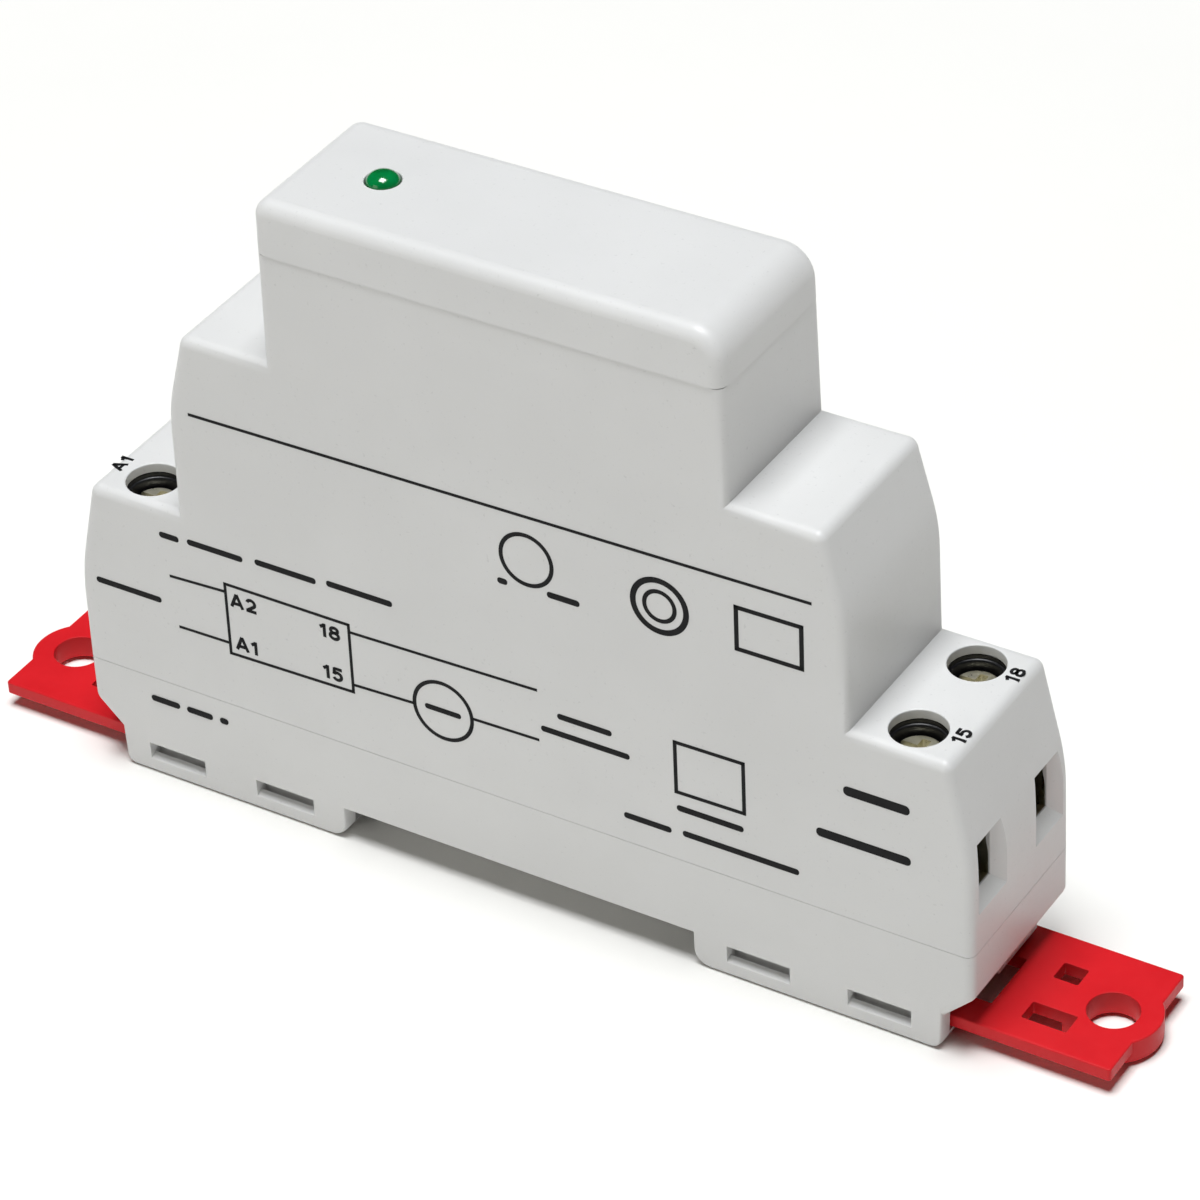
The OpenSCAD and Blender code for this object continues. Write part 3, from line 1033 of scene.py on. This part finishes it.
@dataclass
class Terminals:
    """Black carriers, threaded screws and the cages that they lift."""

    looks: Looks
    head: tuple = (2.0, 26.5, 28.0)
    shank: tuple = (1.2, 21.65)
    pitch: float = 0.45
    thread_depth: float = 0.26
    sleeve: tuple = (42.72, 43.78)

    def spots(self) -> list:
        """Number and place of each terminal."""
        x, y = TERMINAL_X, TERMINAL_Y
        return [(1, -x, -y), (2, -x, y), (3, x, -y), (4, x, y)]

    def carrier(self, end: int) -> None:
        """Black moulding at one end, with a collar over each screw and a window for each wire.

        Args:
            end: +1 for the right end, -1 for the left.
        """
        path = eased([
            (33.4, 13, 0.3), (43.5, 13, 0.3), (43.5, 18.4, 3), (43.05, 21.4, 3), (41.5, 29.15, 0.4),
            (33.4, 29.15, 0.3),
        ], 4)
        bore = self.head[0] + 0.3
        tools = []
        for side in SIDES:
            y, wire = side * TERMINAL_Y, side * ENTRY_Y
            tools += [
                box(35.5, 41, y - 2.2, y + 2.2, 15.9, 26.45),
                block(circle(TERMINAL_X, y, bore), 20, 31, Axis.Z),
                mouth(circle(TERMINAL_X, y, bore), 28.2, 28.75, 31, 0.2),
                block(rectangle(wire - 1.75, wire + 1.75, 15.85, 21.4), 40.5, 44, Axis.X),
                box(32, 42.7, y - 1.05, y + 1.05, 20.7, 21.7),
            ]
        name, look = "left" if end < 0 else "right", self.looks["carrier_black"]
        solid, steps = block(path, -7.6, 7.6, Axis.Y, 0.25).turned(end), at_end(cut(*tools), end)
        node = f"terminal_carrier_{name}"
        piece(f"terminal_block_{name}", solid, steps, look, "case", "carrier_black", node)

    def thread(self, angle: np.ndarray, height: np.ndarray) -> np.ndarray:
        """Depth of the thread: a triangle wave of height minus pitch * angle / turn, faded at its ends.

        Args:
            angle: angle round the screw of each point.
            height: its height.

        Returns:
            What each point's radius gains.
        """
        phase = (height / self.pitch - angle / (2 * math.pi)) % 1.0
        lower = np.clip((height - self.shank[1]) / 0.6, 0, 1)
        upper = np.clip((self.head[1] - 0.5 - height) / 0.4, 0, 1)
        return -self.thread_depth * np.abs(phase - 0.5) * 2 * lower * upper

    def screw(self, number: int, x: float, y: float) -> None:
        """Cheese-head screw with a thread and a cross slot, one arm longer than the other.

        Args:
            number: the terminal's number.
            x: its place along the case.
            y: its place across the case.
        """
        radius, low, high = self.head
        core, tip = self.shank
        rows = np.arange(tip + 0.25, low - 0.05, self.pitch / 9)
        point = ((core - 0.3, tip), (core - 0.05, tip + 0.2))
        shank = np.column_stack((np.full(len(rows), core), rows))
        bend = np.radians(np.linspace(0, 90, 6))
        under = ((core, low), (radius - 0.12, low), (radius, low + 0.12))
        rim = np.column_stack((radius - 0.3 + 0.3 * np.cos(bend), high - 0.3 + 0.3 * np.sin(bend)))
        solid = lathe(np.concatenate((point, shank, under, rim)), 56, self.thread).moved((x, y, 0))
        floor = high - 0.85
        steps = cut(
            block(rectangle(x - 2.6, x + 2.6, y - 0.4, y + 0.4), floor, high + 1, Axis.Z),
            block(rectangle(x - 0.4, x + 0.4, y - 1.35, y + 1.35, 0.2), floor, high + 1, Axis.Z),
        )
        body, node = f"screw_{number}", f"terminal_screw_{number}"
        piece(f"clamp_screw_{number}", solid, steps, self.looks["screw_steel"], body, "screw_steel", node)

    def cage(self, number: int, x: float, y: float) -> None:
        """Cage bent from strip: a rounded box, open along the case, with a tapped hole in its roof.

        Args:
            number: the terminal's number.
            x: its place along the case.
            y: its place across the case.
        """
        solid = block(rectangle(y - 1.9, y + 1.9, 16.2, 23.2, 0.45), x - 2.2, x + 2.2, Axis.X, 0.12)
        steps = cut(
            block(rectangle(y - 1.4, y + 1.4, 17.2, 21.7, 0.15), x - 3, x + 3, Axis.X),
            both_mouths(circle(x, y, 1.22, 40), 21.7, 23.2, 0.12),
        )
        body, node = f"cage_{number}", f"clamp_cage_{number}"
        piece(f"lift_cage_{number}", solid, steps, self.looks["cage_steel"], body, "cage_steel", node)

    def guide(self, number: int, x: float, y: float) -> None:
        """Short square sleeve of strip that leads a wire from the end wall to its cage.

        Args:
            number: the terminal's number.
            x: its place along the case.
            y: its place across the case.
        """
        wire = math.copysign(ENTRY_Y, y)
        low, high = sorted(math.copysign(s, x) for s in self.sleeve)
        solid = block(rectangle(wire - 1.65, wire + 1.65, 15.95, 21.3, 0.3), low, high, Axis.X)
        bore = rectangle(wire - 1.45, wire + 1.45, 16.15, 21.1, 0.1)
        steps = cut(block(bore, low - 1, high + 1, Axis.X))
        piece(f"wire_guide_{number}", solid, steps, self.looks["cage_steel"], "case", "cage_steel")

    def build(self) -> None:
        """Builds both carriers and the four screws, cages and guides."""
        for end in ENDS:
            self.carrier(end)
        for number, x, y in self.spots():
            self.screw(number, x, y)
            self.cage(number, x, y)
            self.guide(number, x, y)


# ---- print ------------------------------------------------------------------------------


@dataclass
class Panel:
    """A flat face that takes print, as an origin and three directions."""

    origin: tuple
    right: tuple
    up: tuple
    out: tuple
    proud: float = 0.018
    sunk: float = 0.03

    def place(self, points: np.ndarray) -> np.ndarray:
        """Point (a, b, c) lies at origin + a right + b up + c out."""
        return np.asarray(self.origin) + points @ np.array((self.right, self.up, self.out))

    def laid(self, solid: Solid) -> Solid:
        """A solid drawn flat in (a, b), laid on the panel."""
        return Solid(self.place(solid.points), solid.faces)

    def area(self, path: Path) -> Solid:
        """A filled outline."""
        return self.laid(carried(path, np.zeros(2), np.array((-self.sunk, self.proud)), Axis.Z))

    def stroke(self, a: Sequence[float], b: Sequence[float], width: float, extend: float = 0.0) -> Solid:
        """A straight line from a to b: the two ends shifted by half the width to either side.

        Args:
            a: one end.
            b: the other end.
            width: the line's width.
            extend: how far it runs past both ends.

        Returns:
            The line on the panel.
        """
        a, b = np.asarray(a, dtype=float), np.asarray(b, dtype=float)
        along = (b - a) / np.linalg.norm(b - a)
        across = np.array((along[1], -along[0])) * width / 2
        a, b = a - along * extend, b + along * extend
        return self.area(np.array((a + across, b + across, b - across, a - across)))

    def frame(self, corners: Sequence[Sequence[float]], width: float) -> list:
        """Lines between the corners of a closed outline."""
        shifted = list(corners[1:]) + [corners[0]]
        return [self.stroke(a, b, width, width / 2) for a, b in zip(corners, shifted)]

    def ring(self, x: float, y: float, radius: float, width: float) -> Solid:
        """A circle line: four corner radii and heights carried round the centre.

        Args:
            x: its centre along the panel.
            y: its centre up the panel.
            radius: radius of the middle of the line.
            width: the line's width.

        Returns:
            The ring on the panel.
        """
        count = 56
        angle = np.linspace(0, 2 * math.pi, count, endpoint=False)
        radii = radius + width / 2 * np.array((-1, -1, 1, 1.0))[:, None]
        lift = np.array((-self.sunk, self.proud, self.proud, -self.sunk))[:, None]
        across, up = x + radii * np.cos(angle), y + radii * np.sin(angle)
        grid = np.stack((across, up, np.repeat(lift, count, axis=1)), axis=-1)
        return self.laid(Solid(grid.reshape(-1, 3), ring_faces(4, count, True)))

    def bar(self, x0: float, x1: float, y: float, tall: float) -> Solid:
        """A plain bar with rounded ends, standing for a word."""
        return self.area(rectangle(x0, x1, y - tall / 2, y + tall / 2, tall * 0.45))

    def ribbon(self, points: np.ndarray, width: float) -> Solid:
        """A line of even width along a smooth run of points: each side lies width / 2 to its normal.

        Args:
            points: the run, one point in each row.
            width: the line's width.

        Returns:
            The line on the panel.
        """
        along = np.gradient(points, axis=0)
        along /= np.linalg.norm(along, axis=1, keepdims=True)
        across = np.column_stack((along[:, 1], -along[:, 0])) * width / 2
        return self.area(np.concatenate((points + across, (points - across)[::-1])))

    def characters(self, text: str, x: float, y: float, tall: float, weight: float = 0.22) -> list:
        """Terminal mark, centred on (x, y).

        Args:
            text: the mark, made of the characters in STROKES.
            x: its middle along the panel.
            y: its middle up the panel.
            tall: height of a character.
            weight: width of a stroke, as a share of the height.

        Returns:
            The strokes as closed solids on the panel.
        """
        wide = [STROKES[c][0] for c in text]
        places = np.cumsum([0.0] + [w + LETTER_GAP for w in wide])
        start = np.array((x, y)) - np.array((places[-1] - LETTER_GAP, 1.0)) * tall / 2
        inner = 1 - weight
        out = []
        for character, place in zip(text, places):
            for run in STROKES[character][1]:
                points = np.asarray(run, dtype=float) * np.array((1.0, inner)) + np.array((place, weight / 2))
                out.append(self.ribbon(points * tall + start, weight * tall))
        return out


def bow(
    x: float, y: float, radius: float, start: float, end: float, high: float, count: int = 20
) -> list:
    """Points of an oval arc: (x + r cos a, y + h sin a), with a in degrees."""
    angle = np.radians(np.linspace(start, end, count))
    return np.column_stack((x + radius * np.cos(angle), y + high * np.sin(angle))).tolist()


LETTER_GAP = 0.22
STROKES = {
    "1": (0.42, [[(0.02, 0.74), (0.32, 0.97)], [(0.32, -0.11), (0.32, 1.1)]]),
    "2": (0.72, [bow(0.36, 0.68, 0.27, 165, -38, 0.32) + [(0.08, 0.02)], [(0.0, 0.0), (0.72, 0.0)]]),
    "5": (0.72, [
        [(0.14, 1.0), (0.68, 1.0)], [(0.17, 1.08), (0.11, 0.46)], bow(0.34, 0.33, 0.28, 140, -155, 0.33),
    ]),
    "8": (0.74, [bow(0.37, 0.77, 0.24, 0, 360, 0.23, 28), bow(0.37, 0.27, 0.29, 0, 360, 0.27, 28)]),
    "A": (0.86, [[(0.04, -0.11), (0.43, 1.1)], [(0.43, 1.1), (0.82, -0.11)], [(0.16, 0.24), (0.7, 0.24)]]),
}


SIDE_Y = -Case.width - Case.draft * Case.part
SIDE_FACE = ((0, SIDE_Y, 0), (1, 0, 0), (0, Case.draft, 1), (0, -1, Case.draft))
STEP_FACE = ((0, 0, Case.step), (0, 1, 0), (-1, 0, 0), (0, 0, 1))


@dataclass
class Print:
    """Black print: a rule, the connection diagram, plain marks and the terminals' numbers."""

    looks: Looks
    line: float = 0.3
    side: Panel = field(default_factory=lambda: Panel(*SIDE_FACE))
    steps: Panel = field(default_factory=lambda: Panel(*STEP_FACE))

    def diagram(self) -> list:
        """Rule, box, wires and the circle of the connection diagram."""
        s, w = self.side, self.line
        lines = [s.stroke((-31, 41.2), (30.3, 42.0), w)]
        lines += s.frame([(-28.8, 24.25), (-15.8, 24.25), (-15.8, 17.1), (-28.8, 16.8)], w)
        wires = (
            ((-34.8, 23.1), (-28.8, 23.4)), ((-34.3, 17.8), (-28.8, 17.9)), ((-15.8, 23.5), (3.4, 24.0)),
            ((-15.8, 17.9), (-9.4, 18.15)), ((-3.45, 18.6), (3.35, 18.75)),
        )
        lines += [s.stroke(a, b, w * 0.95) for a, b in wires]
        return lines + [s.ring(-6.43, 18.35, 2.95, 0.38)]

    def marks(self) -> list:
        """Plain shapes and word bars in the places of the other print."""
        s = self.side
        out = [s.ring(3.0, 37.25, 2.5, 0.4), s.ring(15.9, 36.9, 2.55, 0.55), s.ring(15.9, 36.9, 1.45, 0.4)]
        out += s.frame([(23.2, 39.3), (29.3, 39.35), (29.3, 35.2), (23.2, 35.15)], 0.42)
        out += s.frame([(16.9, 23.4), (23.5, 23.5), (23.5, 18.3), (16.9, 18.2)], 0.36)
        bars = (
            (-35.5, -33.4, 27.35, 0.62), (-32.5, -26.6, 27.5, 0.62), (-25.3, -18.9, 27.75, 0.62),
            (-17.8, -11.0, 28.0, 0.62), (-43.1, -36.0, 20.05, 0.62), (-38.3, -35.2, 8.65, 0.62),
            (-34.4, -31.6, 8.7, 0.62), (-30.8, -29.9, 8.75, 0.62), (0.0, 1.0, 34.3, 0.6),
            (4.9, 8.1, 34.45, 0.62), (5.3, 10.7, 22.0, 0.6), (3.6, 12.4, 20.15, 0.6),
            (-8.3, -4.6, 18.35, 0.55), (16.9, 23.4, 16.55, 0.62), (11.6, 16.3, 13.85, 0.62),
            (17.4, 28.7, 14.0, 0.62), (33.0, 39.2, 24.3, 0.95), (30.4, 39.3, 19.1, 0.9),
        )
        return out + [s.bar(*b) for b in bars]

    def numbers(self) -> list:
        """Terminal marks in the diagram's box and beside the access holes."""
        boxed = (("A2", -26.95, 22.75), ("18", -17.85, 22.8), ("A1", -27.0, 18.2), ("15", -17.85, 18.4))
        holes = (("15", -4.3, -41.75), ("18", 5.0, -41.75), ("A1", -4.3, 42.2), ("A2", 5.0, 42.2))
        marks = [self.side.characters(*mark, 1.5) for mark in boxed]
        marks += [self.steps.characters(*mark, 1.35) for mark in holes]
        return [stroke for mark in marks for stroke in mark]

    def build(self) -> None:
        """Builds the print as three pieces that ride on the case."""
        sets = {
            "side_diagram": self.diagram(),
            "side_marks": self.marks(),
            "terminal_numbers": self.numbers(),
        }
        for name, (first, *others) in sets.items():
            piece(name, first.plus(*others), (), self.looks["print_black"], "case", "carrier_black")


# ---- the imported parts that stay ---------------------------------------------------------


class Electronics:
    """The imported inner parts, which keep their shape and take a finish."""

    SPECIAL = {"diodes": "diode_black"}

    def __init__(self, frame: dict, looks: Looks) -> None:
        """Keeps the frame and the looks."""
        self.frame, self.looks = frame, looks

    def dress(self) -> None:
        """Gives every node the material of its slot in the record."""
        slots = {part["node"]: part["material_slot"] for part in self.frame["record"]["subparts"]}
        for name, node in self.frame["nodes"].items():
            look = self.looks[self.SPECIAL.get(name, slots[name])]
            for place in node.material_slots:
                place.material = look
            LOG.info("%s: finish %s", name, look.name)


# ---- studio -----------------------------------------------------------------------------


@dataclass
class Studio:
    """Pale floor, soft lights and the camera."""

    looks: Looks
    eye: tuple = (0.197204, -0.292392, 0.282039)
    right: tuple = (0.85209588, 0.52137401, -0.04584499)
    up: tuple = (-0.27489635, 0.52036204, 0.80848954)
    back: tuple = (0.44538142, -0.67630799, 0.58672216)
    lens: float = 152.6
    reach: float = 20000.0
    drop: float = 0.1

    def floor(self) -> None:
        """Floor: a wide flat sheet just under the feet."""
        corners = np.pad(rectangle(-self.reach, self.reach, -self.reach, self.reach), ((0, 0), (0, 1)))
        sheet = new_object("floor_sheet", Solid(corners - (0, 0, self.drop), [(0, 1, 2, 3)]))
        sheet.data.materials.append(self.looks["floor_pale"])

    def stand(self, name: str, data: bpy.types.ID, *columns: Sequence[float]) -> bpy.types.Object:
        """Links a lamp or a camera.

        Args:
            name: its name.
            data: its lamp or camera data.
            *columns: its right, up and back directions and its place, in metres.

        Returns:
            The object.
        """
        obj = bpy.data.objects.new(name, data)
        turn = np.eye(4)
        turn[:3] = np.column_stack(columns)
        obj.matrix_world = Matrix(turn.tolist())
        bpy.context.scene.collection.objects.link(obj)
        return obj

    def light(self, name: str, place: Sequence[float], size: float, power: float, tint: tuple) -> None:
        """A square soft light at a place, aimed at the middle of the relay.

        Args:
            name: its name.
            place: where it stands, in metres.
            size: its side, in metres.
            power: its power in watts.
            tint: its colour.
        """
        lamp = bpy.data.lights.new(name, "AREA")
        lamp.shape, lamp.size, lamp.energy, lamp.color = "SQUARE", size, power, tint
        back = np.asarray(place) - np.array((0, 0, 0.03))
        back /= np.linalg.norm(back)
        across = np.cross((0.0, 0.1, 1.0), back)
        across /= np.linalg.norm(across)
        self.stand(name, lamp, across, np.cross(back, across), back, place)

    def camera(self) -> None:
        """Long-lens camera above the right front corner."""
        data = bpy.data.cameras.new("camera")
        data.lens, data.sensor_width, data.clip_start = self.lens, 36.0, 0.02
        obj = self.stand("camera", data, self.right, self.up, self.back, self.eye)
        bpy.context.scene.camera = obj

    def build(self) -> None:
        """Sets up the floor, lights, surroundings and camera."""
        self.floor()
        self.light("key", (0.0, -0.1, 1.3), 0.6, 19.4, (0.965, 0.982, 1.0))
        self.light("front", (-0.3, -0.8, 0.3), 0.5, 0.85, (1.0, 0.98, 0.94))
        self.light("rim", (0.85, 0.1, 0.3), 0.4, 0.02, (1.0, 0.9, 0.68))
        world = bpy.data.worlds.new("surroundings")
        world.use_nodes = True
        world.node_tree.nodes["Background"].inputs["Color"].default_value = (1.0, 0.95, 0.84, 1.0)
        world.node_tree.nodes["Background"].inputs["Strength"].default_value = 0.02
        bpy.context.scene.world = world
        bpy.context.scene.view_settings.view_transform = "Standard"
        self.camera()


def main() -> None:
    """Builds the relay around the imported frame."""
    logging.basicConfig(level=logging.INFO, format="%(name)s %(message)s")
    for spare in [o for o in bpy.data.objects if o.type in {"MESH", "LIGHT", "CAMERA"}]:
        bpy.data.objects.remove(spare)
    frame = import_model()
    looks = Looks()
    Electronics(frame, looks).dress()
    Studio(looks).build()
    Case(looks).build()
    clip = SlideClip(looks)
    for end in ENDS:
        clip.build(end)
    Terminals(looks).build()
    Print(looks).build()


if __name__ == "__main__":
    main()
